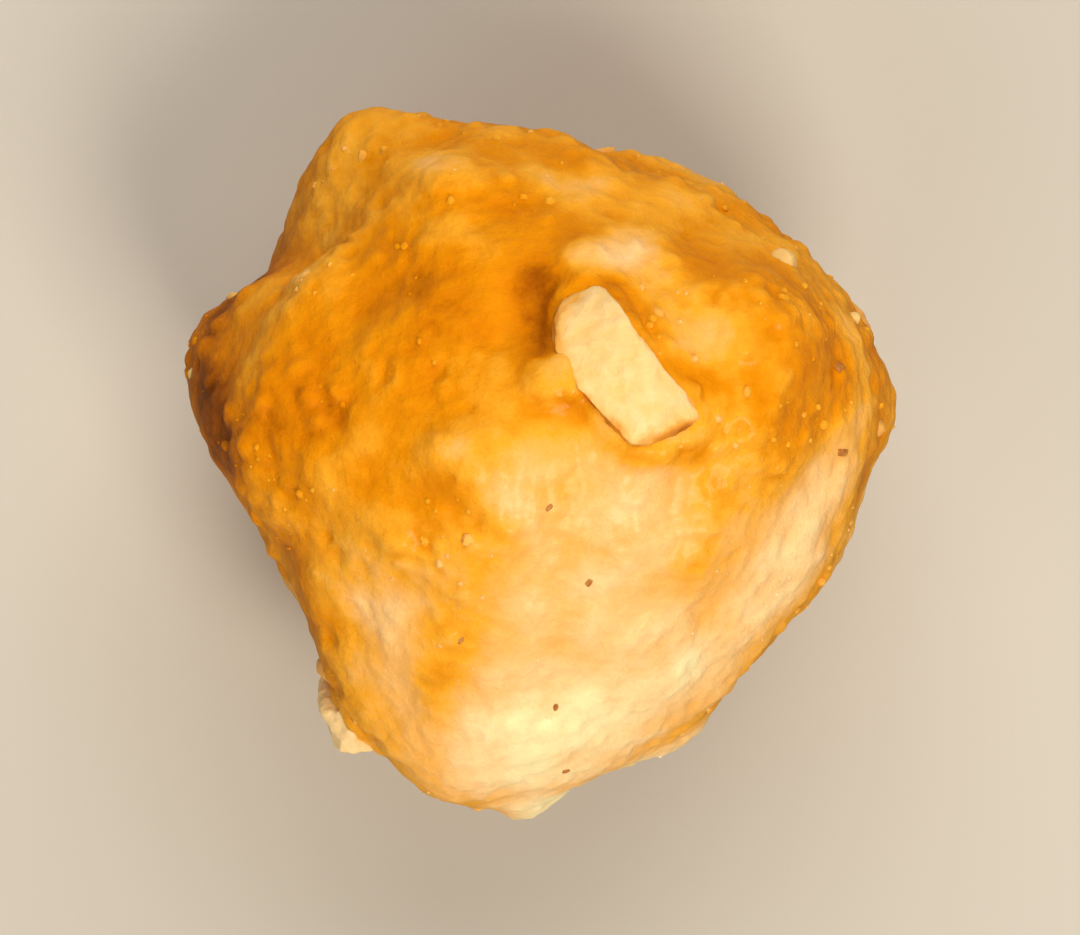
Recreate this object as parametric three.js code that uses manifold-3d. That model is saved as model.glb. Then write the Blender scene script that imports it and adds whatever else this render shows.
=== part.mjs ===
// One caramelised hazelnut: a roasted kernel in a lumpy coat of set sugar, with a sliver and crumbs of
// chopped nut stuck in the coat. It lies on its side. +X is to the right, +Y runs from the kernel's tip to
// its blunt base and +Z is up. The origin is at the middle of the surface that it lies on. Lengths are in
// millimetres.
import * as THREE from "three";
import { ImprovedNoise } from "three/addons/math/ImprovedNoise.js";
import { mergeVertices } from "three/addons/utils/BufferGeometryUtils.js";
import Module from "manifold-3d";

// Driving dimensions of the whole nut
const WIDTH = 12.4;
const LENGTH = 12.7;
const HEIGHT = 11;

// The middle of the kernel, from which its flats are measured
const MIDDLE = new THREE.Vector3(-0.1, -0.25, 5);

// The kernel is a ball cut into small triangles, which its flats and lumps then shape.
const KERNEL_DETAIL = 20;

// How tightly flats meet: low numbers round the body off, high ones leave edges.
const KERNEL_SHARPNESS = 9;
const CHIP_SHARPNESS = 12;

// The kernel's flats. Each faces a direction and lies at a distance from the middle.
const FLATS = [
  { name: "blunt base", toward: [0.1, 1, 0], reach: 6.5 },
  { name: "base, right corner", toward: [0.5, 0.87, -0.05], reach: 6.7 },
  { name: "right shoulder", toward: [0.84, 0.54, 0], reach: 6.75 },
  { name: "right side", toward: [1, -0.05, -0.1], reach: 6.4 },
  { name: "right of the tip", toward: [0.78, -0.62, -0.05], reach: 5.05 },
  { name: "tip, right corner", toward: [0.36, -0.93, -0.1], reach: 5.6 },
  { name: "left of the tip", toward: [-0.86, -0.51, -0.05], reach: 4.75 },
  { name: "blunt tip", toward: [-0.2, -0.98, -0.1], reach: 6.0 },
  { name: "left side", toward: [-1, 0.25, -0.1], reach: 6.5 },
  { name: "left shoulder", toward: [-0.64, 0.77, 0], reach: 7.15 },
  { name: "upper plateau", toward: [-0.1, 0.26, 0.96], reach: 5.7 },
  { name: "upper face towards the tip", toward: [0.2, -0.56, 0.8], reach: 4.85 },
  { name: "upper left face", toward: [-0.6, -0.36, 0.71], reach: 5.3 },
  { name: "upper right face", toward: [0.77, -0.12, 0.63], reach: 5.9 },
  { name: "upper face at the left shoulder", toward: [-0.6, 0.5, 0.62], reach: 6.0 },
  { name: "upper face at the base", toward: [0.3, 0.8, 0.52], reach: 6.2 },
  { name: "underside", toward: [0.05, 0.1, -1], reach: 5.4 },
  { name: "under the tip", toward: [0.1, -0.72, -0.69], reach: 5.1 },
  { name: "under the base", toward: [-0.1, 0.7, -0.71], reach: 5.7 },
  { name: "under the left side", toward: [-0.78, -0.05, -0.63], reach: 5.7 },
  { name: "under the right side", toward: [0.8, 0.1, -0.6], reach: 5.75 },
];

// Lumps stand out of the kernel and hollows sink into it. Each lies where the ray from the middle through
// its point leaves the kernel, fades out over its radius and has a height, below zero for a hollow.
const LUMPS = [
  { name: "nub at the tip", through: [-0.2, -6.3, 4.9], radius: 0.55, height: 0.55 },
  { name: "corner of the base", through: [-3.1, 5.9, 5.4], radius: 1.3, height: 0.75 },
  { name: "lump on the left side", through: [-6.1, 1.8, 4.6], radius: 1.4, height: 0.3 },
  { name: "bead above the notch", through: [-4.2, 3.6, 7.8], radius: 0.55, height: 0.22 },
  { name: "crumb of sugar on the ridge", through: [-1.45, 0.3, 10], radius: 0.5, height: 0.12 },
  { name: "hollow left of the sliver", through: [-0.2, 2.6, 10], radius: 0.7, height: -0.32 },
  { name: "hollow below the sliver", through: [2.6, -0.2, 9.6], radius: 0.6, height: -0.2 },
  { name: "lump right of the sliver", through: [3.7, 2.3, 9], radius: 1.3, height: 0.4 },
  { name: "pit near the base", through: [-2.6, 3.7, 9.4], radius: 0.7, height: -0.3 },
  { name: "bead at the base", through: [-1.8, 5.3, 8], radius: 0.7, height: 0.25 },
  { name: "dip towards the tip", through: [-1.9, -3.6, 7.6], radius: 0.8, height: -0.22 },
  { name: "step right of the tip", through: [3.7, -3.7, 5.4], radius: 0.7, height: -0.35 },
  { name: "bead right of the tip", through: [2.4, -4.9, 5.2], radius: 0.6, height: 0.2 },
  { name: "lump on the right side", through: [6, 1.3, 5.4], radius: 1.2, height: 0.2 },
  { name: "hollow under the right side", through: [5.4, 0.2, 2], radius: 1.3, height: -0.4 },
  { name: "drip under the base", through: [2.2, 5.4, 2.2], radius: 1.2, height: 0.45 },
  { name: "hollow in the base", through: [-1.4, 6, 3.2], radius: 1.3, height: -0.4 },
  { name: "drip under the left side", through: [-4.8, -2, 2], radius: 1.2, height: 0.4 },
  { name: "hollow under the tip", through: [1.6, -4.2, 1.8], radius: 1.2, height: -0.3 },
];

// Ridges and grooves run from one point to another, in the same way.
const SEAMS = [
  { name: "notch in the left side", from: [-4.3, 4.4, 7.2], to: [-5, 3.7, 4.2], radius: 1, height: -0.7 },
  { name: "step in the left side", from: [-5.3, -1, 6.6], to: [-5.2, -1.4, 3.8], radius: 1.3, height: -0.4 },
  { name: "ridge above the tip face", from: [-1.4, 0.2, 10], to: [5, 0.3, 8], radius: 0.6, height: 0.14 },
  { name: "ridge down to the tip", from: [-1.4, 0.2, 10], to: [-0.2, -0.9, 9.6], radius: 0.4, height: 0.14 },
  { name: "edge of the left face", from: [-4, 3.4, 8], to: [-4.4, -0.6, 7.4], radius: 0.8, height: 0.2 },
  { name: "groove beside the sliver", from: [2.2, 3.7, 10], to: [3.3, 1.4, 9.6], radius: 0.4, height: -0.2 },
  { name: "groove in the tip face", from: [3.7, -0.2, 9], to: [2.7, -2.5, 8.2], radius: 0.45, height: -0.22 },
  { name: "crease in the base", from: [-3, 6, 6.8], to: [2.4, 6.2, 4.8], radius: 0.7, height: -0.25 },
  { name: "crease under right side", from: [5.8, 3, 4.4], to: [4.4, -3, 2.8], radius: 0.6, height: -0.25 },
];

// The coat's lumpiness, coarse first: how far apart the lumps are and how high.
const CRUST = [
  { spacing: 2.7, height: 0.22 },
  { spacing: 1.3, height: 0.12 },
];

// The kernel's own wrinkles run from its tip to its base.
const WRINKLES = { count: 15, height: 0.05, twist: 0.25 };

// Chips of nut stuck in the coat, the first three on top. Each lies half sunk in the coat where the ray from
// the middle through its point leaves it. Half sizes are across, along and through the chip. Spin turns it
// on the coat, in degrees, and bend curves it sideways.
const CHIPS = [
  { name: "sliver", through: [1.65, 2.05, 10.4], half: [0.62, 1.6, 0.5], spin: 34, bend: 0.22, seed: 3 },
  { name: "top crumb", through: [1, 4, 10], half: [0.42, 0.45, 0.35], spin: 10, bend: 0, seed: 9 },
  { name: "small crumb", through: [0.1, 1.5, 10.4], half: [0.4, 0.36, 0.35], spin: 60, bend: 0, seed: 5 },
  { name: "tip crumb", through: [-3.4, -4.4, 5.2], half: [0.5, 0.66, 0.5], spin: 50, bend: 0, seed: 11 },
  { name: "right crumb", through: [5.6, 2.4, 4.2], half: [0.6, 0.8, 0.5], spin: 30, bend: 0, seed: 8 },
  { name: "base flake", through: [-0.6, 6, 4], half: [0.7, 1.3, 0.45], spin: 66, bend: -0.2, seed: 21 },
  { name: "left crumb", through: [-4.8, 1.4, 1.4], half: [0.6, 0.9, 0.5], spin: -35, bend: 0, seed: 34 },
];
const CHIP_TRIANGLE = 0.26;
const CHIP_SKEW = 0.22;
const CHIP_CORNER_CUT = { least: 1.05, most: 1.4 };

const CARAMEL = { color: 0xe09a2b, roughness: 0.35, metalness: 0 };

// Vertices closer than this are one vertex.
const SAME_PLACE = 1e-5;

const { degToRad, lerp, seededRandom } = THREE.MathUtils;
const perlin = new ImprovedNoise();

// How far a body of softly joined flats reaches in a direction. A flat adds nothing where it faces away.
function reachOf(direction, flats, sharpness) {
  let sum = 0;
  for (const flat of flats) {
    const facing = Math.max(0, direction.dot(flat.normal));
    sum += (facing / flat.reach) ** sharpness;
  }
  return sum ** (-1 / sharpness);
}

function bareShape(geometry) {
  geometry.deleteAttribute("normal");
  geometry.deleteAttribute("uv");
  return mergeVertices(geometry, SAME_PLACE);
}

// A closed ball of small triangles with each vertex moved to where place() puts its direction.
function shapedBall(detail, place) {
  const geometry = bareShape(new THREE.IcosahedronGeometry(1, detail));
  const position = geometry.getAttribute("position");
  for (let i = 0; i < position.count; i++) {
    const direction = new THREE.Vector3().fromBufferAttribute(position, i).normalize();
    position.setXYZ(i, ...place(direction));
  }
  return geometry;
}

function unit(x, y, z) {
  return new THREE.Vector3(x, y, z).normalize();
}

const kernelFlats = FLATS.map(({ toward, reach }) => ({ normal: unit(...toward), reach }));

function bareKernelAt(direction) {
  return MIDDLE.clone().addScaledVector(direction, reachOf(direction, kernelFlats, KERNEL_SHARPNESS));
}

function directionThrough(x, y, z) {
  return unit(x - MIDDLE.x, y - MIDDLE.y, z - MIDDLE.z);
}

function onBareKernel(point) {
  return bareKernelAt(directionThrough(...point));
}

const lumps = LUMPS.map((lump) => ({ ...lump, centre: onBareKernel(lump.through) }));
const seams = SEAMS.map((seam) => {
  const line = new THREE.Line3(onBareKernel(seam.from), onBareKernel(seam.to));
  return { ...seam, line };
});

function fade(distance, radius) {
  return Math.exp(-((distance / radius) ** 2));
}

// How high the coat stands over the bare kernel at a point.
function relief(point) {
  let height = 0;
  for (const lump of lumps) {
    height += lump.height * fade(point.distanceTo(lump.centre), lump.radius);
  }
  for (const seam of seams) {
    const nearest = seam.line.closestPointToPoint(point, true, new THREE.Vector3());
    height += seam.height * fade(point.distanceTo(nearest), seam.radius);
  }
  for (const { spacing, height: rise } of CRUST) {
    height += rise * perlin.noise(point.x / spacing, point.y / spacing, point.z / spacing);
  }
  const around = Math.atan2(point.z - MIDDLE.z, point.x - MIDDLE.x);
  const awayFromEnds = Math.max(0, 1 - (point.y / (LENGTH / 2)) ** 2);
  const wrinkle = Math.cos(WRINKLES.count * around + WRINKLES.twist * point.y);
  return height + WRINKLES.height * awayFromEnds * wrinkle;
}

function coatAt(direction) {
  const bare = bareKernelAt(direction);
  return bare.addScaledVector(direction, relief(bare));
}

// Seats a chip on the coat where the ray through a point leaves it. The coat within its reach decides its
// tilt, and sag is how far the coat falls away between the seat and the chip's two ends.
function seatOnCoat(through, reach, spin) {
  const ray = directionThrough(...through);
  const seat = coatAt(ray);
  const across = unit(0, 1, 0).cross(ray).normalize().applyAxisAngle(ray, degToRad(spin));
  const along = ray.clone().cross(across);
  const coatBeside = (side, distance) => {
    const beside = seat.clone().addScaledVector(side, distance);
    return coatAt(directionThrough(...beside));
  };
  const ends = [coatBeside(along, reach), coatBeside(along, -reach)];
  const y = ends[0].clone().sub(ends[1]).normalize();
  const z = coatBeside(across, reach).sub(coatBeside(across, -reach)).cross(y).normalize();
  const betweenEnds = ends[0].add(ends[1]).divideScalar(2);
  const matrix = new THREE.Matrix4().makeBasis(y.clone().cross(z), y, z).setPosition(seat);
  return { matrix, sag: seat.clone().sub(betweenEnds).dot(z) };
}

// A chip is a skewed block with its corners broken off, each at its own depth.
function chipFlats(seed) {
  seededRandom(seed);
  const skewed = (...axis) => unit(...axis.map((length) => length + CHIP_SKEW * (2 * seededRandom() - 1)));
  const flats = [];
  for (const side of [-1, 1]) {
    flats.push({ normal: skewed(side, 0, 0), reach: 1 });
    flats.push({ normal: skewed(0, side, 0), reach: 1 });
    flats.push({ normal: skewed(0, 0, side), reach: 1 });
    for (const front of [-1, 1]) {
      for (const top of [-1, 1]) {
        const reach = lerp(CHIP_CORNER_CUT.least, CHIP_CORNER_CUT.most, seededRandom());
        flats.push({ normal: skewed(side, front, top), reach });
      }
    }
  }
  return flats;
}

function chip({ through, half, spin, bend, seed }) {
  const [halfAcross, halfAlong, halfThrough] = half;
  const flats = chipFlats(seed);
  const { matrix, sag } = seatOnCoat(through, halfAlong, spin);
  const geometry = shapedBall(Math.ceil(halfAlong / CHIP_TRIANGLE), (direction) => {
    const point = direction.clone().multiplyScalar(reachOf(direction, flats, CHIP_SHARPNESS));
    const x = point.x * halfAcross + bend * point.y ** 2;
    const z = point.z * halfThrough - sag * point.y ** 2;
    return new THREE.Vector3(x, point.y * halfAlong, z);
  });
  return geometry.applyMatrix4(matrix);
}

const wasm = await Module();
wasm.setup();

function solidFrom(geometry) {
  const mesh = new wasm.Mesh({
    numProp: 3,
    vertProperties: new Float32Array(geometry.getAttribute("position").array),
    triVerts: new Uint32Array(geometry.index.array),
  });
  return new wasm.Manifold(mesh);
}

function geometryFrom(solid) {
  const { vertProperties, triVerts } = solid.getMesh();
  return new THREE.BufferGeometry()
    .setAttribute("position", new THREE.BufferAttribute(new Float32Array(vertProperties), 3))
    .setIndex(new THREE.BufferAttribute(new Uint32Array(triVerts), 1));
}

// Everything below the surface that the nut lies on is cut off, which leaves the flat spot it rests on.
function cutFlatBelow(solid) {
  const side = 4 * LENGTH;
  const block = new THREE.BoxGeometry(side, side, side).translate(0, 0, -side / 2);
  return solid.subtract(solidFrom(bareShape(block)));
}

// Moves the nut over the origin and brings it to exactly its driving dimensions.
function fitted(geometry) {
  geometry.computeBoundingBox();
  const size = geometry.boundingBox.getSize(new THREE.Vector3());
  const middle = geometry.boundingBox.getCenter(new THREE.Vector3());
  geometry.translate(-middle.x, -middle.y, -geometry.boundingBox.min.z);
  return geometry.scale(WIDTH / size.x, LENGTH / size.y, HEIGHT / size.z);
}

const kernel = solidFrom(shapedBall(KERNEL_DETAIL, coatAt));
const whole = CHIPS.reduce((solid, piece) => solid.add(solidFrom(chip(piece))), kernel);
const shape = fitted(geometryFrom(cutFlatBelow(whole)));
shape.computeVertexNormals();
const hazelnut = new THREE.Mesh(shape, new THREE.MeshStandardMaterial(CARAMEL));
hazelnut.name = "caramelized_hazelnut";

const part = new THREE.Group();
part.add(hazelnut);

export default part;
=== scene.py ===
"""The looks of a caramelised hazelnut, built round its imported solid.

Shapes are worked out in millimetres, in the frame of the part: +X right, +Y from the kernel's tip to its
blunt base, +Z up out of the side that shows. A mesh turns into metres when it becomes an object.
"""

import math

import bmesh
import bpy
import numpy as np
from mathutils import Matrix, Quaternion, Vector, noise
from mathutils.bvhtree import BVHTree


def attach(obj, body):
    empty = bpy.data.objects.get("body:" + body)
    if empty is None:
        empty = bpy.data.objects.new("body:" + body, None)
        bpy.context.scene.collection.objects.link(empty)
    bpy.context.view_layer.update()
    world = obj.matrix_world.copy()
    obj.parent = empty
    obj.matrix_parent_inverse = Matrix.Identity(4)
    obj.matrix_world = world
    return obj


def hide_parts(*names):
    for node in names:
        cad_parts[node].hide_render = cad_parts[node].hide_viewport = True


NODE = "caramelized_hazelnut"
BODY = "root"
MM = 0.001

# The middle of the kernel, and how far out from it the rays that look for the skin start
MIDDLE = np.array([-0.1, -0.25, 5])
FAR_OUT = 30

# The coat is the solid's skin, cut into squares of this size, and smoothed for so many rounds.
COAT_SQUARE = 0.081
COAT_SMOOTHING = 20

# How finely the ball is cut from which each broken thing is made
BALL_CUTS = {"chip": 6, "crumb": 3, "fleck": 3, "sugar": 2}

# Bare chips of nut stuck in the coat, about as large as in the solid and about where it has them. Half sizes
# are across, along and through the chip. Spin turns it on the coat, in degrees. Glaze is how much caramel it
# has, 1 for a film and below 0 where it is paler than usual. The solid's other chips are lumps in the coat.
CHIPS = [
    # The crumb near the tip is extra pale, partly as painted light on a side that lies in shade
    {"through": (-3.4, -4.4, 5.4), "half": (0.55, 0.72, 0.56), "spin": 50, "seed": 11, "glaze": -0.9},
    {"through": (5.6, 2.4, 4.2), "half": (0.6, 0.8, 0.5), "spin": 30, "seed": 8, "glaze": 0.6},
    {"through": (-4.8, 1.4, 1.4), "half": (0.6, 0.9, 0.5), "spin": -35, "seed": 34, "glaze": 0.5},
]
CHIP_SKEW = 0.22
CHIP_CORNER_CUT = (1.05, 1.4)
CHIP_SHARPNESS = 14

# How bare of caramel a chip is: at its middle, how much more at its top, and how much less for its glaze
CHIP_BARENESS = (0.35, 0.4, 0.5)

# Under a chip the coat is drawn flat, out to this many of its half widths and so many millimetres more.
FLAT_REACH = 1.5
FLAT_MARGIN = 0.3
FLAT_ROUNDS = 500

# A rim of caramel climbs each chip. The coat is higher there and the caramel thicker, partly painted shade,
# and both fade over their own reach. Farther from a chip than the limit there is no rim.
RIM_HEIGHT = 0.12
RIM_REACH = 0.16
RIM_CARAMEL_AND_SHADE = 0.05
RIM_CARAMEL_AND_SHADE_REACH = 0.25
RIM_LIMIT = 0.8

# The sliver lies beside the middle and has an outline of its own, as seen from above.
SLIVER = {"through": (1.65, 2.05, 10.4), "half": (0.62, 1.6, 0.5), "spin": 34}
SLIVER_OUTLINE = [
    (0.9, 3.45),
    (1.17, 3.15),
    (1.4, 2.75),
    (1.7, 2.3),
    (2.0, 1.9),
    (2.25, 1.6),
    (2.55, 1.32),
    (2.95, 1.1),
    (2.93, 0.8),
    (2.3, 0.54),
    (1.75, 0.36),
    (1.22, 0.73),
    (0.8, 1.2),
    (0.42, 1.7),
    (0.25, 2.2),
    (0.26, 2.75),
    (0.53, 3.2),
]
# The sliver's outline is taken at this many places on each of its sides.
OUTLINE_STEPS = 12
SLIVER_SQUARENESS = 5
SLIVER_SMOOTHING = 4
# Its relief, as a share of the chips', and its bareness: at its middle, and how much more at its top
SLIVER_RELIEF = 0.75
SLIVER_BARENESS = (0.4, 0.4)
# Its broken top, as flats: each one's height, and how much it changes a millimetre across and along
SLIVER_FLATS = [(0.46, -0.34, 0.03), (0.42, 0.3, -0.05), (0.5, 0.06, -0.2), (0.46, -0.06, 0.15)]

# Where the caramel is thicker or thinner than elsewhere: a line from one place to another, its radius and
# how much thicker, below zero where it is thinner. A place is where the skin lies under x and y, as seen
# from above, or with z, where the ray from the kernel's middle through that point leaves the skin.
PATCHES = {
    # Bare nut, paler also as painted light where the face tilts towards the light
    "bare face towards the tip, partly painted light": ((1.6, -1.4), (0.4, -4.2), 2.4, -0.4),
    "bare corner under the sliver": ((-0.1, -0.2), (1.4, -0.5), 0.7, -0.1),
    "bare tip": ((-1.5, -5.1), (1.9, -4.95), 1.5, -0.2),
    "pale rise near the tip": ((0.2, -3.7), (1.7, -4.3), 0.5, -0.1),
    "nub at the tip": ((-0.3, -6.2, 5.4), (-0.3, -6.3, 4.2), 0.9, -0.34),
    "bare rim at the tip": ((0.6, -6, 4.7), (3.2, -4.6, 4.7), 0.9, -0.26),
    "bare rim on the right": ((5.6, -0.6, 5), (4.3, -3.2, 5), 0.9, -0.24),
    "bare right flank": ((4.9, -0.4), (3.2, -3.4), 1.1, -0.38),
    "left side of the bare face": ((-0.4, -0.9), (-0.5, -1.8), 0.5, 0.08),
    "rim of the base": ((-1.6, 5.6), (0.4, 5.3), 0.5, 0.08),
    "streak in the bare face": ((3.1, -0.4), (2.6, -1.7), 0.4, 0.15),
    # Paler on the ridge, partly as painted light where it faces the light
    "ridge above the bare face, partly painted light": ((-1.4, 0.2), (-0.5, -0.7), 0.32, -0.12),
    "left lobe": ((-5.7, 2.7), (-5.6, 0.6), 1.3, 0.34),
    # Darker round the sliver: painted shade in its grooves, and on the left also pooled caramel
    "caramel and painted shade left of the sliver": ((-0.1, 3.2), (-0.1, 1.9), 0.42, 0.18),
    "painted shade right of the sliver": ((1.45, 3.1), (2.15, 2.3), 0.22, 0.08),
    "painted shade right of the sliver's toe": ((2.5, 1.8), (3.2, 1.2), 0.25, 0.1),
    "painted shade below the sliver": ((1.7, 0.2), (2.7, 0.3), 0.28, 0.24),
    "dip beside the sliver": ((0.2, 1.1), (0.6, 1.05), 0.35, 0.11),
    "lump beside the sliver": ((0.0, 1.5), (0.25, 1.5), 0.22, 0.05),
    "lump above the sliver": ((0.95, 3.65), (1.7, 4.0), 0.45, -0.26),
    "arc past the sliver": ((1.75, 3.5), (2.75, 2.3), 0.65, -0.26),
    "slope behind the arc": ((0.8, 4.8), (3.4, 4.1), 0.9, -0.2),
    "pit near the base": ((-2.6, 3.8), (-2.3, 3.6), 0.6, 0.12),
    "arc near the base": ((-1.7, 4.7), (-0.3, 4.7), 0.5, 0.1),
    "bright bead at the base": ((-1.95, 5.4), (-1.95, 5.5), 0.35, -0.16),
    # Paler on the corner, partly as painted light on a side that lies in shade
    "corner at the base, partly painted light": ((-3.5, 5.4), (-3.6, 4.4), 0.8, -0.17),
    "spot on the right": ((4.1, 2.6), (4.6, 1.6), 0.5, 0.1),
    "right edge": ((5.5, 2.3), (5.7, 0.9), 0.5, -0.2),
    # Paler on the left face and its foot, partly as painted light on faces turned from the key
    "painted light on the golden left face": ((-3.8, -0.7), (-2.8, -2.0), 1.1, -0.2),
    "pale foot of the left face, partly painted light": ((-2.8, -2.8), (-2.6, -3.8), 0.8, -0.22),
    "right of the middle": ((3.9, 0.9), (4.6, 0.3), 0.6, 0.1),
    "left edge": ((-4.5, 1.4), (-4.2, -0.3), 0.65, 0.15),
    "plateau on the left": ((-3.6, 2.2), (-1.8, 2.6), 1.1, 0.09),
    "gold spot near the tip": ((-1.95, -3.7), (-1.8, -4.2), 0.42, 0.14),
    "bare spot under the base": ((1.5, 5, 3), (3, 4.5, 2.2), 1.2, -0.26),
    "bare spot on the left": ((-5, -2, 3.5), (-4.4, -3, 2), 1.0, -0.24),
    "run down the right": ((5.5, 1, 4.5), (4.6, 0.4, 0.8), 0.7, 0.1),
    "run down the base": ((-2.5, 5, 4.5), (-2.2, 4.4, 0.9), 0.8, 0.12),
    "run under the tip": ((1.8, -5, 3.6), (1.6, -4, 0.7), 0.7, 0.08),
}
CARAMEL_USUAL = 0.6

# Caramel has run down: it is thicker by so much at the foot, which begins at the first height and is full
# at the second. It pools by so much high up and low down, between two other heights.
CARAMEL_AT_FOOT = 0.14
FOOT_HEIGHTS = (2.5, 0.3)
POOLING = (0.14, 0.44)
POOLING_HEIGHTS = (6, 3)
POOLING_DETAIL = 0.1

# What fills hollows: thicker, darker caramel that is partly painted shade. Rounds of smoothing say how wide
# the hollows are, and then come the amount for each millimetre of their depth and the least and most.
CARAMEL_AND_SHADE_IN_HOLLOWS = (40, 1.2, -0.14, 0.2)
CARAMEL_AND_SHADE_IN_PITS = (5, 1.5, -0.06, 0.1)
GLAZE_AND_SHADE_ON_CHIPS = (8, 4, -0.1, 0.3)

# Fields of noise: how far apart their lumps or cells are, in millimetres, and a number that tells them apart
FORM = (1.1, 0.0)
FORM_DETAIL = (0.6, 5.0)
POOLS = (2.3, 7.0)
POOL_DETAIL = (0.8, 3.0)
GRAINY_AREAS = (1.8, 11.0)
LUMPS = (0.6, 2.0)
LUMP_DETAIL = (0.3, 6.0)
PITS = (0.9, 8)
BLISTERS = (0.65, 2)
FIBRES = (0.2, 0.0)
ROUGHNESS = (0.24, 9.0)
BREAK_STEPS = (0.7, 2.0)
BREAK_PITS = (0.4, 3)
BREAK_GRAIN = (0.3, 0.0)
BREAK_GRAIN_DETAIL = (0.12, 4.0)
SLIVER_RIM = (0.5, 8.0)

# Heights in millimetres: of the coat's form, of a broken surface's relief, and of the coat's fine relief
FORM_HEIGHT = 0.1
FORM_DETAIL_HEIGHT = 0.05
BREAK_GRAIN_HEIGHT = 0.05
BREAK_STEP_HEIGHT = -0.12
BREAK_PIT_HEIGHT = -0.04
RELIEF = {
    "film": 0.06,
    "lumps": 0.085,
    "blisters": 0.06,
    "pits": -0.07,
    "fibres": 0.04,
    "roughness": 0.032,
}
# Where the caramel is thicker than the first value it begins to form a film, which is full at the second.
COATED = (0.25, 0.5)

# Grains of sugar, crumbs of nut and flecks of its skin: how many, and their least and greatest half size. A
# grain has so much more caramel than the coat under it. Each side is longer or shorter by an uneven share.
SUGAR_COUNT = 360
SUGAR_HALF = (0.03, 0.1)
SUGAR_CARAMEL = -0.12
CRUMB_COUNT = 60
CRUMB_HALF = (0.07, 0.2)
CRUMB_BARENESS = (0.3, 0.9)
HIDDEN_FLECK_COUNT = 30
HIDDEN_FLECK_HALF = (0.05, 0.16)
FLECK_SHAPE = (1, 0.6, 0.25)
UNEVEN = (0.7, 1.3)
FLECK_UNEVEN = (0.8, 1.2)
# None lies lower than the first height above the floor, and fewer do up to the second.
ABOVE_FLOOR = (0.3, 0.6)
# Crumbs and hidden flecks lie where the skin faces up by less than the first share, most below the second.
HIDDEN = (0.25, -0.1)
# Each is sunk by this share of its least half size.
GRAIN_SUNK = 0.4
SEED = 7

# Flecks of the nut's brown skin on the side that shows: place as seen from above, and half size
FLECKS = [
    (0.15, -0.7, 0.07),
    (-1.4, -3.0, 0.09),
    (0.85, -2.0, 0.08),
    (0.27, -4.2, 0.08),
    (0.45, -5.35, 0.08),
    (5.3, 0.24, 0.14),
    (5.25, 1.8, 0.12),
]

# Colours on the screen: of the caramel by its thickness, of the nut by its bareness, and of its skin
CARAMEL_COLOURS = [
    (0.0, (255, 236, 184)),
    (0.15, (254, 211, 152)),
    (0.3, (252, 190, 108)),
    (0.45, (248, 174, 46)),
    (0.6, (232, 147, 8)),
    (0.75, (218, 129, 2)),
    (0.9, (166, 88, 2)),
    (1.0, (118, 58, 2)),
]
NUT_COLOURS = [
    (0.0, (176, 98, 16)),
    (0.3, (232, 156, 50)),
    (0.55, (252, 200, 118)),
    (1.0, (254, 218, 162)),
]
SKIN_COLOURS = [
    (0.3, (158, 92, 32)),
    (0.7, (208, 140, 62)),
]

# The studio, with lengths in millimetres
FLOOR_SIDE = 1200
FLOOR_COLOUR = (198, 195, 191)
WORLD_COLOUR = (255, 242, 216)
WORLD_STRENGTH = 0.1
KEY_COLOUR = (255, 243, 220)
FILL_COLOUR = (255, 246, 230)
CAMERA_DISTANCE = 300
PICTURE_HEIGHT = 16.6
PICTURE_ASPECT = 1080 / 935


def linear(colour):
    """A colour of the screen, 0 to 255, as Blender's scene-linear one."""
    shares = np.array(colour) / 255
    curved = np.where(shares <= 0.04045, shares / 12.92, ((shares + 0.055) / 1.055) ** 2.4)
    return (*curved, 1)


def unit(vector):
    return vector / np.linalg.norm(vector)


def rows_of_unit(vectors):
    return vectors / np.linalg.norm(vectors, axis=1, keepdims=True)


def step_between(low, high, values):
    """0 at low and before it, 1 at high and past it, and smooth between."""
    share = np.clip((values - low) / (high - low), 0, 1)
    return share * share * (3 - 2 * share)


def noise_at(points, spacing, offset=0.0):
    """Smooth noise, about -0.7 to 0.7, whose lumps lie a spacing apart."""
    return np.array([noise.noise(point) for point in (points / spacing + offset).tolist()])


def cells_at(points, spacing, offset):
    """How far each point is from the nearest of many scattered centres, 0 at one and about 1 between."""
    return np.array([noise.voronoi(point)[0][0] for point in ((points + offset) / spacing).tolist()])


def neighbour_mean(values, edges, valence):
    start, end = edges.T
    count = len(valence)
    columns = [
        (np.bincount(start, column[end], count) + np.bincount(end, column[start], count)) / valence
        for column in values.reshape(count, -1).T
    ]
    return np.stack(columns, axis=1).reshape(values.shape)


class Skin:
    """A closed surface in millimetres whose points can be moved."""

    def __init__(self, points, faces):
        self.points = points
        self.faces = faces
        sides = faces.shape[1]
        pairs = np.concatenate([faces[:, [i, (i + 1) % sides]] for i in range(sides)])
        self.edges = np.unique(np.sort(pairs, axis=1), axis=0)
        self.valence = np.bincount(self.edges.ravel(), minlength=len(points))

    def smooth(self, values, rounds):
        for _ in range(rounds):
            values = neighbour_mean(values, self.edges, self.valence)
        return values

    def draw_flat(self, where, rounds):
        """Draws the surface flat in one place, like a film that is held at the place's edge."""
        edges = self.edges[where[self.edges].any(axis=1)]
        near, local = np.unique(edges, return_inverse=True)
        edges = local.reshape(-1, 2)
        valence = np.bincount(edges.ravel(), minlength=len(near))
        free = where[near]
        points = self.points[near]
        for _ in range(rounds):
            points[free] = neighbour_mean(points, edges, valence)[free]
        self.points[near] = points

    def normals(self):
        corner = self.points[self.faces]
        facing = np.cross(corner[:, 2] - corner[:, 0], corner[:, -1] - corner[:, 1])
        total = np.zeros_like(self.points)
        for column in self.faces.T:
            np.add.at(total, column, facing)
        return rows_of_unit(total)

    def raise_by(self, height):
        self.points = self.points + self.normals() * height[:, None]

    def tree(self):
        return BVHTree.FromPolygons(self.points.tolist(), self.faces.tolist())


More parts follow.
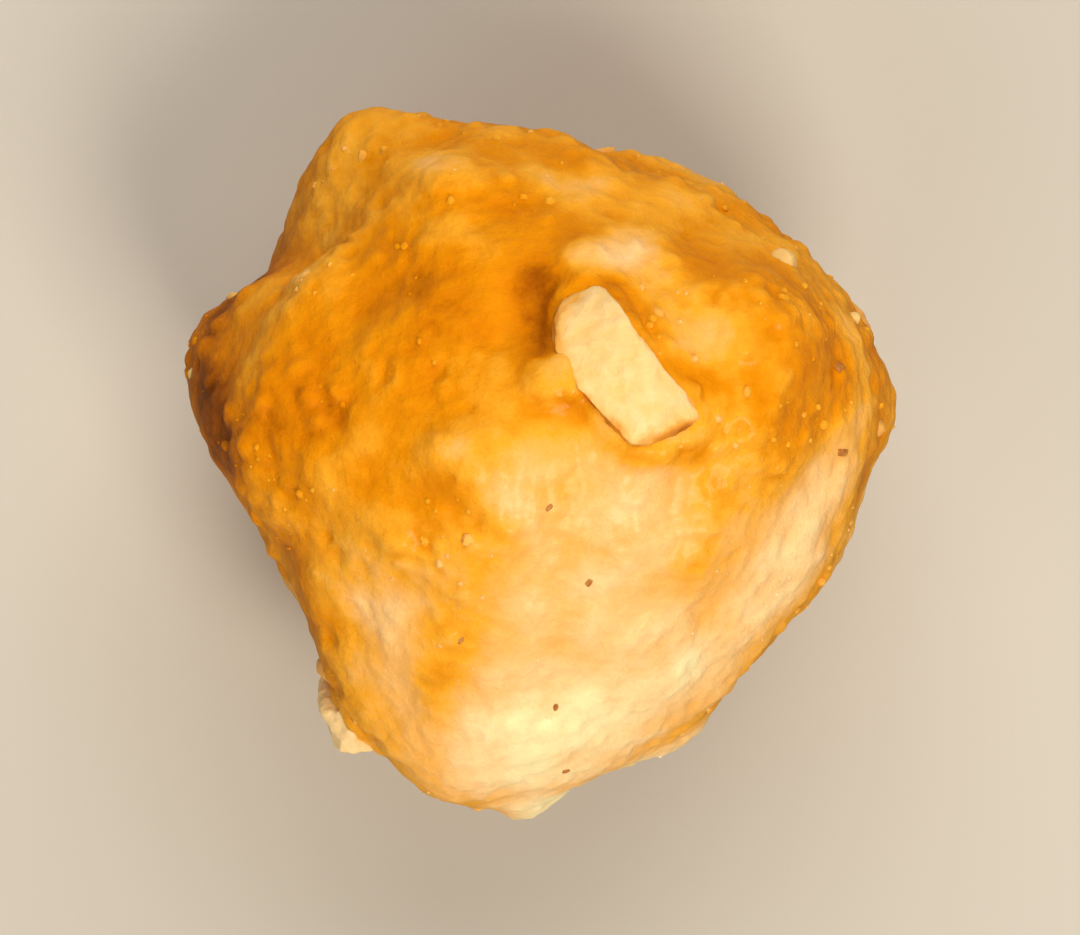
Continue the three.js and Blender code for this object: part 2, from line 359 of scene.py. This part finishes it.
def squares_of(source, size):
    """The skin of a closed object, cut anew into squares of one size."""
    mesh = source.data.copy()
    mesh.transform(Matrix.Scale(1 / MM, 4))
    scratch = bpy.data.objects.new("scratch", mesh)
    bpy.context.scene.collection.objects.link(scratch)
    cutter = scratch.modifiers.new("squares", "REMESH")
    cutter.mode = "VOXEL"
    cutter.voxel_size = size
    made = scratch.evaluated_get(bpy.context.evaluated_depsgraph_get()).to_mesh()
    points = np.empty(len(made.vertices) * 3)
    made.vertices.foreach_get("co", points)
    faces = np.empty(len(made.loops), int)
    made.loops.foreach_get("vertex_index", faces)
    bpy.data.objects.remove(scratch)
    bpy.data.meshes.remove(mesh)
    return Skin(points.reshape(-1, 3), faces.reshape(-1, 4))


def ball(cuts):
    """The points and triangles of a ball of radius 1."""
    made = bmesh.new()
    bmesh.ops.create_icosphere(made, subdivisions=cuts, radius=1)
    points = np.array([vertex.co for vertex in made.verts])
    faces = np.array([[vertex.index for vertex in face.verts] for face in made.faces])
    made.free()
    return points, faces


def distance_from_line(points, start, end):
    line = end - start
    share = np.clip((points - start) @ line / max(line @ line, 1e-9), 0, 1)
    return np.linalg.norm(points - start - share[:, None] * line, axis=1)


def hit_along(tree, origin, direction):
    return np.array(tree.ray_cast(Vector(origin), Vector(direction))[0])


def on_skin(tree, through):
    """Where the ray from the kernel's middle through a place leaves the skin."""
    ray = unit(np.array(through) - MIDDLE)
    return hit_along(tree, MIDDLE + FAR_OUT * ray, -ray)


def place_on(tree, place):
    """The skin's place under x and y, or, where z is given as well, out along the ray from the middle."""
    if len(place) == 3:
        return on_skin(tree, place)
    return hit_along(tree, (*place, FAR_OUT), (0, 0, -1))


# Chips of nut


def chip_sides(chip):
    """Across and along a chip, before it is tilted to lie on the coat."""
    outward = unit(np.array(chip["through"]) - MIDDLE)
    turn = Matrix.Rotation(math.radians(chip["spin"]), 3, Vector(outward))
    across = np.array(turn @ Vector(unit(np.cross([0, 1, 0], outward))))
    return across, np.cross(outward, across)


def clear_under_chips(skin):
    """Draws the coat flat where each chip is, because the chips are made again as pieces of their own."""
    tree = skin.tree()
    under = np.zeros(len(skin.points), bool)
    for chip in [SLIVER, *CHIPS]:
        _, along = chip_sides(chip)
        seat = on_skin(tree, chip["through"])
        wide, long, _ = chip["half"]
        reach = along * max(long - wide, 0.01)
        limit = FLAT_REACH * wide + FLAT_MARGIN
        under |= distance_from_line(skin.points, seat - reach, seat + reach) < limit
    skin.draw_flat(under, FLAT_ROUNDS)


def seat_on_coat(tree, chip):
    """A chip's place and axes on the coat, and how far the coat falls from its middle to its ends."""
    across, along = chip_sides(chip)
    reach = chip["half"][1]
    seat = on_skin(tree, chip["through"])
    front, back = (on_skin(tree, seat + side * along * reach) for side in (1, -1))
    right, left = (on_skin(tree, seat + side * across * reach) for side in (1, -1))
    y = unit(front - back)
    z = unit(np.cross(right - left, y))
    axes = np.array([np.cross(y, z), y, z])
    return seat, axes, (seat - (front + back) / 2) @ z


def seeded_numbers(seed):
    """Endless numbers from 0 to 1, the same for the same seed."""
    mask = 0xFFFFFFFF
    while True:
        seed = (seed + 0x6D2B79F5) & mask
        mixed = ((seed ^ (seed >> 15)) * (seed | 1)) & mask
        mixed ^= (mixed + (mixed ^ (mixed >> 7)) * (mixed | 61)) & mask
        yield (mixed ^ (mixed >> 14)) / 2**32


def block_flats(seed):
    """The flats of a skewed block with its corners broken off, each at its own depth."""
    numbers = seeded_numbers(seed)
    next(numbers)

    def skewed(*axis):
        return unit(np.array([length + CHIP_SKEW * (2 * next(numbers) - 1) for length in axis]))

    normals, reaches = [], []
    for side in (-1, 1):
        for axis in ((side, 0, 0), (0, side, 0), (0, 0, side)):
            normals.append(skewed(*axis))
            reaches.append(1)
        for front in (-1, 1):
            for top in (-1, 1):
                least, most = CHIP_CORNER_CUT
                reaches.append(least + (most - least) * next(numbers))
                normals.append(skewed(side, front, top))
    return np.array(normals), np.array(reaches)


def block(directions, seed):
    """Points in those directions on a broken block of half size 1."""
    normals, reaches = block_flats(seed)
    facing = np.maximum(directions @ normals.T, 0) / reaches
    return directions * (facing**CHIP_SHARPNESS).sum(axis=1, keepdims=True) ** (-1 / CHIP_SHARPNESS)


def broken(skin, amount=1.0):
    """The fine relief of a surface along which a nut has broken."""
    steps = np.abs(noise_at(skin.points, *BREAK_STEPS))
    pits = step_between(0.35, 0.1, cells_at(skin.points, *BREAK_PITS))
    grain = noise_at(skin.points, *BREAK_GRAIN) + 0.6 * noise_at(skin.points, *BREAK_GRAIN_DETAIL)
    relief = BREAK_GRAIN_HEIGHT * grain + BREAK_STEP_HEIGHT * steps + BREAK_PIT_HEIGHT * pits
    skin.raise_by(amount * relief)


def chip_skin(tree, chip):
    """A chip's skin, and how bare of caramel each of its points is."""
    directions, faces = ball(BALL_CUTS["chip"])
    seat, axes, sag = seat_on_coat(tree, chip)
    shape = block(directions, chip["seed"])
    wide, long, thick = chip["half"]
    z = shape[:, 2] * thick - sag * shape[:, 1] ** 2
    skin = Skin(np.column_stack([shape[:, 0] * wide, shape[:, 1] * long, z]) @ axes + seat, faces)
    broken(skin)
    middle, more_at_top, less_for_glaze = CHIP_BARENESS
    return skin, middle + more_at_top * shape[:, 2] - less_for_glaze * chip["glaze"]


def reach_to(outline, around):
    """How far the outline is from its middle in each direction."""
    corners = np.array([*outline, outline[0]])
    share = np.linspace(0, 1, OUTLINE_STEPS, endpoint=False)[:, None]
    sides = zip(corners, corners[1:])
    edge = np.concatenate([start + share * (end - start) for start, end in sides])
    return np.interp(around, np.arctan2(*edge.T), np.linalg.norm(edge, axis=1), period=2 * np.pi)


def sliver_skin(tree):
    """The sliver's skin, and how bare of caramel each of its points is."""
    directions, faces = ball(BALL_CUTS["chip"])
    seat, axes, sag = seat_on_coat(tree, SLIVER)
    outline = (np.array(SLIVER_OUTLINE) - seat[:2]) @ np.linalg.inv(axes[:2, :2])
    around = np.arctan2(*directions.T[:2])
    level = np.linalg.norm(directions[:, :2], axis=1)
    power = SLIVER_SQUARENESS
    edge = (level**power + np.abs(directions[:, 2]) ** power) ** (1 / power)
    height = directions[:, 2] / edge
    reach = reach_to(outline, around) * level / edge
    plan = np.column_stack([np.sin(around), np.cos(around)]) * reach[:, None]
    flats = np.array(SLIVER_FLATS)
    top = (flats[:, :1] + flats[:, 1:] @ plan.T).min(axis=0)
    _, long, thick = SLIVER["half"]
    z = height * np.where(height > 0, top, thick) - sag * (plan[:, 1] / long) ** 2
    skin = Skin(np.column_stack([plan, z]) @ axes + seat, faces)
    skin.points = skin.smooth(skin.points, SLIVER_SMOOTHING)
    broken(skin, SLIVER_RELIEF)
    rim = step_between(0.8, 1, level / edge) * (0.24 + 0.8 * noise_at(skin.points, *SLIVER_RIM))
    middle, more_at_top = SLIVER_BARENESS
    return skin, middle + more_at_top * height - rim


# Fine grains


def grains_on(skin, chosen, sizes, numbers, kind):
    """Broken grains, each sunk in the skin at a chosen point: flecks lie flat on it, others lie anyhow."""
    directions, faces = ball(BALL_CUTS[kind])
    normals = skin.normals()
    grains = []
    for index, half in zip(chosen, sizes):
        turn = np.array(Quaternion(unit(numbers.normal(size=4))).to_matrix())
        if kind == "fleck":
            across = unit(np.cross(normals[index], turn[0]))
            turn = np.array([across, np.cross(normals[index], across), normals[index]])
        shape = block(directions, int(numbers.integers(1, 10**6))) * half
        seat = skin.points[index] - GRAIN_SUNK * half.min() * normals[index]
        grains.append(Skin(shape @ turn + seat, faces))
    return grains


def coat_index(skin, place):
    """The skin's point that is nearest to a place, as seen from above."""
    above = skin.points[:, 2] > MIDDLE[2]
    away = np.linalg.norm(skin.points[:, :2] - place, axis=1)
    return int(np.argmin(np.where(above, away, np.inf)))


def drawn_points(likely, count, numbers):
    """Points of the skin, drawn by how likely each is."""
    return numbers.choice(len(likely), count, replace=False, p=likely / likely.sum())


# Objects


def joined(skins):
    """Points and faces of several skins as one."""
    starts = np.cumsum([0, *(len(skin.points) for skin in skins[:-1])])
    points = np.concatenate([skin.points for skin in skins])
    faces = np.concatenate([skin.faces + start for skin, start in zip(skins, starts)])
    return points, faces


def piece(name, skins, material, values, flat=False):
    """One piece of the nut, riding on its body, with named values at its points for its material."""
    points, faces = joined(skins)
    mesh = bpy.data.meshes.new(name)
    mesh.from_pydata((points * MM).tolist(), [], faces.tolist())
    if flat:
        mesh.shade_flat()
    else:
        mesh.shade_smooth()
    for key, amounts in values.items():
        attribute = mesh.attributes.new(key, "FLOAT", "POINT")
        attribute.data.foreach_set("value", amounts.astype(np.float32))
    mesh.materials.append(material)
    made = bpy.data.objects.new(name, mesh)
    bpy.context.scene.collection.objects.link(made)
    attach(made, BODY)
    return made


class Finish:
    """A procedural material whose nodes feed one shader."""

    def __init__(self, name, **constants):
        self.material = bpy.data.materials.new(name)
        self.material.use_nodes = True
        self.tree = self.material.node_tree
        self.shader = self.tree.nodes["Principled BSDF"]
        for socket, value in constants.items():
            self.shader.inputs[socket.replace("_", " ")].default_value = value

    def link(self, socket, value):
        if isinstance(value, bpy.types.NodeSocket):
            self.tree.links.new(value, socket)
        else:
            socket.default_value = value

    def feed(self, name, value):
        self.link(self.shader.inputs[name], value)

    def node(self, kind, settings=None, **inputs):
        """A new node whose inputs are given by name, or by number as _0, _1 and so on."""
        made = self.tree.nodes.new(kind)
        for key, value in (settings or {}).items():
            setattr(made, key, value)
        for key, value in inputs.items():
            name = int(key[1:]) if key[1:].isdigit() else key.replace("_", " ")
            self.link(made.inputs[name], value)
        return made

    def point(self):
        return self.node("ShaderNodeTexCoord").outputs["Object"]

    def value(self, name):
        return self.node("ShaderNodeAttribute", {"attribute_name": name}).outputs["Fac"]

    def noise(self, spacing, detail=2.0):
        """Noise from 0 to 1, whose lumps are a spacing in millimetres apart."""
        made = self.node("ShaderNodeTexNoise", Vector=self.point(), Scale=1 / (spacing * MM), Detail=detail)
        return made.outputs["Fac"]

    def maths(self, operation, *terms, clamp=False):
        settings = {"operation": operation, "use_clamp": clamp}
        inputs = {f"_{i}": term for i, term in enumerate(terms)}
        return self.node("ShaderNodeMath", settings, **inputs).outputs[0]

    def mottled(self, value, *layers):
        """A value, 0 to 1, that layers of noise move up and down, each by its spacing, detail and reach."""
        for spacing, detail, reach in layers:
            value = self.maths("MULTIPLY_ADD", self.noise(spacing, detail), reach, value)
        middle = sum(reach for *_, reach in layers) / 2
        return self.maths("SUBTRACT", value, middle, clamp=True)

    def uneven(self, low, high, spacing, detail):
        """A value that noise moves between two others."""
        return self.maths("MULTIPLY_ADD", self.noise(spacing, detail), high - low, low)

    def ramp(self, value, stops):
        made = self.node("ShaderNodeValToRGB", Fac=value)
        elements = made.color_ramp.elements
        while len(elements) < len(stops):
            elements.new(0.5)
        for element, (position, colour) in zip(elements, stops):
            element.position = position
            element.color = linear(colour)
        return made.outputs["Color"]

    def bump(self, height, distance, normal=None):
        """The relief of a height from 0 to 1 that stands a distance in millimetres high."""
        inputs = {"Height": height, "Distance": distance * MM, "Strength": 1.0}
        made = self.node("ShaderNodeBump", **inputs)
        if normal is not None:
            self.link(made.inputs["Normal"], normal)
        return made.outputs["Normal"]


def caramel_finish():
    finish = Finish(
        "caramel",
        IOR=1.28,
        Specular_Tint=linear((255, 214, 150)),
        Subsurface_Weight=0.2,
        Subsurface_Radius=(1.0, 0.55, 0.2),
        Subsurface_Scale=0.3 * MM,
        Coat_Weight=0.3,
        Coat_Roughness=0.16,
        Coat_IOR=1.3,
    )
    thick = finish.value("caramel")
    mottle = finish.mottled(thick, (0.5, 4, 0.2), (0.09, 3, 0.1))
    finish.feed("Base Color", finish.ramp(mottle, CARAMEL_COLOURS))
    thin_roughness = finish.uneven(0.5, 0.8, spacing=0.3, detail=3)
    finish.feed("Roughness", finish.maths("MULTIPLY_ADD", thick, -0.3, thin_roughness))
    relief = finish.bump(finish.noise(0.2, 5), 0.05)
    finish.feed("Normal", finish.bump(finish.noise(0.045, 3), 0.012, relief))
    return finish.material


def nut_finish():
    finish = Finish(
        "nut",
        IOR=1.46,
        Subsurface_Weight=0.3,
        Subsurface_Radius=(1.0, 0.6, 0.3),
        Subsurface_Scale=0.3 * MM,
        Coat_Weight=0.15,
        Coat_Roughness=0.3,
    )
    mottle = finish.mottled(finish.value("bareness"), (0.25, 3, 0.3))
    finish.feed("Base Color", finish.ramp(mottle, NUT_COLOURS))
    finish.feed("Roughness", finish.uneven(0.38, 0.63, spacing=0.2, detail=2))
    finish.feed("Normal", finish.bump(finish.noise(0.07, 3), 0.02))
    return finish.material


def skin_finish():
    finish = Finish("skin", IOR=1.4, Coat_Weight=0.2, Coat_Roughness=0.3)
    finish.feed("Base Color", finish.ramp(finish.noise(0.1, 3), SKIN_COLOURS))
    finish.feed("Roughness", finish.uneven(0.4, 0.7, spacing=0.08, detail=2))
    finish.feed("Normal", finish.bump(finish.noise(0.05, 3), 0.02))
    return finish.material


# The nut


def fade(distance, radius):
    """1 at no distance, and near 0 past the radius."""
    return np.exp(-((distance / radius) ** 3))


def in_hollows(skin, rounds, amount, least, most):
    """An amount for each millimetre that a point lies below its surroundings, between least and most."""
    below = ((skin.smooth(skin.points, rounds) - skin.points) * skin.normals()).sum(axis=1)
    return np.clip(amount * (below - np.median(below)), least, most)


def caramel_on(skin):
    """How thick the caramel is, from 0 for bare nut to 1 for a dark pool, with painted light and shade in
    places.
    """
    tree = skin.tree()
    thick = np.full(len(skin.points), CARAMEL_USUAL)
    for start, end, radius, more in PATCHES.values():
        away = distance_from_line(skin.points, place_on(tree, start), place_on(tree, end))
        thick += more * fade(away, radius)
    height = skin.points[:, 2]
    high_up, low_down = POOLING
    pooling = high_up + (low_down - high_up) * step_between(*POOLING_HEIGHTS, height)
    thick += pooling * noise_at(skin.points, *POOLS)
    thick += POOLING_DETAIL * noise_at(skin.points, *POOL_DETAIL)
    thick += CARAMEL_AT_FOOT * step_between(*FOOT_HEIGHTS, height)
    # Thicker caramel in hollows, darker partly as painted shade
    thick += in_hollows(skin, *CARAMEL_AND_SHADE_IN_HOLLOWS)
    return np.clip(thick, 0, 1)


def distance_to(tree, points, limit):
    """How far each point is from a skin, up to a limit."""
    found = (tree.find_nearest(Vector(point), limit)[3] for point in points)
    return np.array([limit if distance is None else distance for distance in found])


def make_coat(skin):
    """Gives the coat its form and returns the chips that lie in it and how thick the caramel is."""
    clear_under_chips(skin)
    skin.points = skin.smooth(skin.points, COAT_SMOOTHING)
    form = FORM_HEIGHT * noise_at(skin.points, *FORM)
    form += FORM_DETAIL_HEIGHT * noise_at(skin.points, *FORM_DETAIL)
    skin.raise_by(form)
    tree = skin.tree()
    chips = [sliver_skin(tree), *(chip_skin(tree, chip) for chip in CHIPS)]
    caramel = caramel_on(skin)
    chip_tree = Skin(*joined([chip for chip, _ in chips])).tree()
    beside = distance_to(chip_tree, skin.points, RIM_LIMIT)
    skin.raise_by(RIM_HEIGHT * np.exp(-((beside / RIM_REACH) ** 2)))
    # Thicker, darker caramel round the chips: partly painted shade
    caramel += RIM_CARAMEL_AND_SHADE * np.exp(-((beside / RIM_CARAMEL_AND_SHADE_REACH) ** 2))
    return chips, np.clip(caramel, 0, 1)


def add_relief(skin, caramel):
    """Raises the fine relief, and returns where the caramel is grainy and how thick it is with full pits,
    darker partly as painted shade.
    """
    coated = step_between(*COATED, caramel)
    grainy = step_between(-0.15, 0.2, noise_at(skin.points, *GRAINY_AREAS)) * coated
    lumps, lump_detail = (np.abs(noise_at(skin.points, *field)) for field in (LUMPS, LUMP_DETAIL))
    blisters = step_between(0.45, 0.1, cells_at(skin.points, *BLISTERS))
    shapes = {
        "film": coated,
        "lumps": grainy * (lumps + 0.5 * lump_detail),
        "blisters": blisters * coated * (0.4 + grainy),
        "pits": step_between(0.3, 0.1, cells_at(skin.points, *PITS)) * coated,
        "fibres": (1 - coated) * noise_at(skin.points * (1, 0.25, 1), *FIBRES),
        "roughness": noise_at(skin.points, *ROUGHNESS),
    }
    skin.raise_by(sum(height * shapes[name] for name, height in RELIEF.items()))
    skin.points[:, 2] = np.maximum(skin.points[:, 2], 0)
    # Thicker caramel in the fine pits, darker partly as painted shade
    pooled_and_shaded = in_hollows(skin, *CARAMEL_AND_SHADE_IN_PITS)
    return grainy, np.clip(caramel + pooled_and_shaded * (0.4 + 0.6 * coated), 0, 1)


def make_chips(chips):
    # Less bare in the chips' hollows: caramel, and partly painted shade
    bareness = [bare - in_hollows(skin, *GLAZE_AND_SHADE_ON_CHIPS) for skin, bare in chips]
    skins = [skin for skin, _ in chips]
    piece("nut_chips", skins, nut_finish(), {"bareness": np.concatenate(bareness)})


def make_sugar(coat, caramel, likely, numbers):
    places = drawn_points(likely, SUGAR_COUNT, numbers)
    least, most = SUGAR_HALF
    draws = numbers.random((SUGAR_COUNT, 1))
    halves = least + (most - least) * draws**3 * numbers.uniform(*UNEVEN, (SUGAR_COUNT, 3))
    grains = grains_on(coat, places, halves, numbers, "sugar")
    thickness = np.repeat(caramel[places], len(grains[0].points)) + SUGAR_CARAMEL
    piece("sugar_grains", grains, caramel_finish(), {"caramel": thickness}, flat=True)


def make_crumbs(coat, likely, numbers):
    places = drawn_points(likely, CRUMB_COUNT, numbers)
    halves = numbers.uniform(*CRUMB_HALF, (CRUMB_COUNT, 1)) * numbers.uniform(*UNEVEN, (CRUMB_COUNT, 3))
    crumbs = grains_on(coat, places, halves, numbers, "crumb")
    bareness = np.repeat(numbers.uniform(*CRUMB_BARENESS, CRUMB_COUNT), len(crumbs[0].points))
    piece("nut_crumbs", crumbs, nut_finish(), {"bareness": bareness})


def make_flecks(coat, likely, numbers):
    """The flecks that show, and others on the hidden sides."""
    places = [coat_index(coat, (x, y)) for x, y, _ in FLECKS]
    places += drawn_points(likely, HIDDEN_FLECK_COUNT, numbers).tolist()
    halves = [half for *_, half in FLECKS]
    halves += numbers.uniform(*HIDDEN_FLECK_HALF, HIDDEN_FLECK_COUNT).tolist()
    sizes = np.outer(halves, FLECK_SHAPE) * numbers.uniform(*FLECK_UNEVEN, (len(halves), 3))
    flecks = grains_on(coat, places, sizes, numbers, "fleck")
    piece("skin_flecks", flecks, skin_finish(), {})


def make_nut(solid):
    """The coat in the solid's place, and what is stuck in it and on it."""
    coat = squares_of(solid, COAT_SQUARE)
    chips, caramel = make_coat(coat)
    grainy, caramel = add_relief(coat, caramel)
    coat_piece = piece("coat", [coat], caramel_finish(), {"caramel": caramel})
    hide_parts(NODE)
    make_chips(chips)
    numbers = np.random.default_rng(SEED)
    above_floor = step_between(*ABOVE_FLOOR, coat.points[:, 2])
    hidden = step_between(*HIDDEN, coat.normals()[:, 2])
    make_sugar(coat, caramel, (0.05 + grainy**2) * above_floor, numbers)
    make_crumbs(coat, above_floor * hidden, numbers)
    make_flecks(coat, above_floor * hidden, numbers)


# The studio


def make_floor():
    """A plain floor that the nut stands on and doesn't reflect."""
    mesh = bpy.data.meshes.new("floor")
    reach = FLOOR_SIDE / 2 * MM
    corners = [(x * reach, y * reach, 0) for x, y in ((-1, -1), (1, -1), (1, 1), (-1, 1))]
    mesh.from_pydata(corners, [], [(0, 1, 2, 3)])
    floor = bpy.data.objects.new("floor", mesh)
    bpy.context.scene.collection.objects.link(floor)
    finish = Finish("floor", Base_Color=linear(FLOOR_COLOUR), Roughness=0.7)
    mesh.materials.append(finish.material)
    floor.visible_glossy = False


def make_light(name, place, size, power, colour, glossy=True):
    """A square light that faces the nut's middle, in millimetres and watts. Glossy ones leave highlights."""
    data = bpy.data.lights.new(name, "AREA")
    data.size = size * MM
    data.energy = power
    data.color = linear(colour)[:3]
    light = bpy.data.objects.new(name, data)
    light.location = Vector(place) * MM
    light.rotation_euler = (Vector(MIDDLE) - Vector(place)).to_track_quat("-Z", "Y").to_euler()
    light.visible_glossy = glossy
    bpy.context.scene.collection.objects.link(light)


def make_world():
    world = bpy.data.worlds.new("world")
    world.use_nodes = True
    background = world.node_tree.nodes["Background"]
    background.inputs["Color"].default_value = linear(WORLD_COLOUR)
    background.inputs["Strength"].default_value = WORLD_STRENGTH
    bpy.context.scene.world = world


def make_camera():
    """A camera straight above the nut, as the photo was taken."""
    data = bpy.data.cameras.new("camera")
    data.lens = data.sensor_width * CAMERA_DISTANCE / (PICTURE_HEIGHT * PICTURE_ASPECT)
    data.clip_start = 10 * MM
    data.clip_end = 10000 * MM
    camera = bpy.data.objects.new("camera", data)
    camera.location = Vector((0, 0, CAMERA_DISTANCE + MIDDLE[2])) * MM
    bpy.context.scene.collection.objects.link(camera)
    bpy.context.scene.camera = camera


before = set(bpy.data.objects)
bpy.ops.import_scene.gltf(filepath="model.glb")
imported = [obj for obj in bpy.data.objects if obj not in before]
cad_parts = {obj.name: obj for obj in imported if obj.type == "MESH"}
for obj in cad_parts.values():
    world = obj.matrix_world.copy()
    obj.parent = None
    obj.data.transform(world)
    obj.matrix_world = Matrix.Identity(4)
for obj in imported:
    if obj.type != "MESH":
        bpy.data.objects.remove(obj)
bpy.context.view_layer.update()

make_nut(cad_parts[NODE])

make_floor()
make_light("key", (60, -110, 170), size=80, power=0.3, colour=KEY_COLOUR)
make_light("front fill", (-90, -110, 110), size=140, power=0.1, colour=FILL_COLOUR, glossy=False)
make_light("back fill", (20, 120, 120), size=160, power=0.27, colour=FILL_COLOUR, glossy=False)
make_world()
make_camera()
bpy.context.scene.view_settings.view_transform = "Standard"
